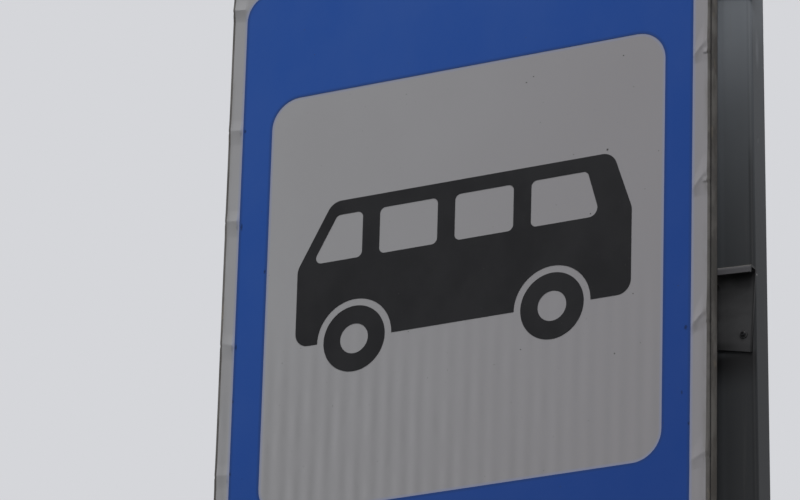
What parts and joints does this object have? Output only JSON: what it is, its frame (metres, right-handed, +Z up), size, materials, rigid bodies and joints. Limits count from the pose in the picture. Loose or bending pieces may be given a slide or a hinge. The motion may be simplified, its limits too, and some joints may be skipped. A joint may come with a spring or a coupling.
{
  "type": "bus stop road sign",
  "caption": "Upright bus stop road sign hung at one side of a rectangular steel post on a bolted foot plate, with a folded steel panel, blue border and dark bus pictogram",
  "frame": {"origin": "On the ground under the foot plate, in the middle of its four anchor holes and on the post's axis", "axes": "Z is up along the post, X runs to the right along the sign as seen from its front, and Y runs back, so the sign faces -Y"},
  "size_m": [0.9433, 0.44, 3.17],
  "materials": {
    "foot_steel": "satin, worn",
    "post_steel": "satin, weathered",
    "cap_plastic": "matt",
    "rail_steel": "galvanised",
    "panel_steel": "galvanised",
    "white_film": "retroreflective film, weathered",
    "blue_film": "retroreflective film, weathered",
    "black_film": "film, weathered"
  },
  "bodies": {
    "root": {"base_plate": "foot_steel", "gussets": "foot_steel", "post": "post_steel", "post_cap": "cap_plastic", "rail_lower": "rail_steel", "rail_middle": "rail_steel", "rail_upper": "rail_steel", "sign_panel": "panel_steel", "white_film": "white_film", "blue_film": "blue_film", "bus_film": "black_film", "wheel_film": "black_film"}
  },
  "joints": []
}
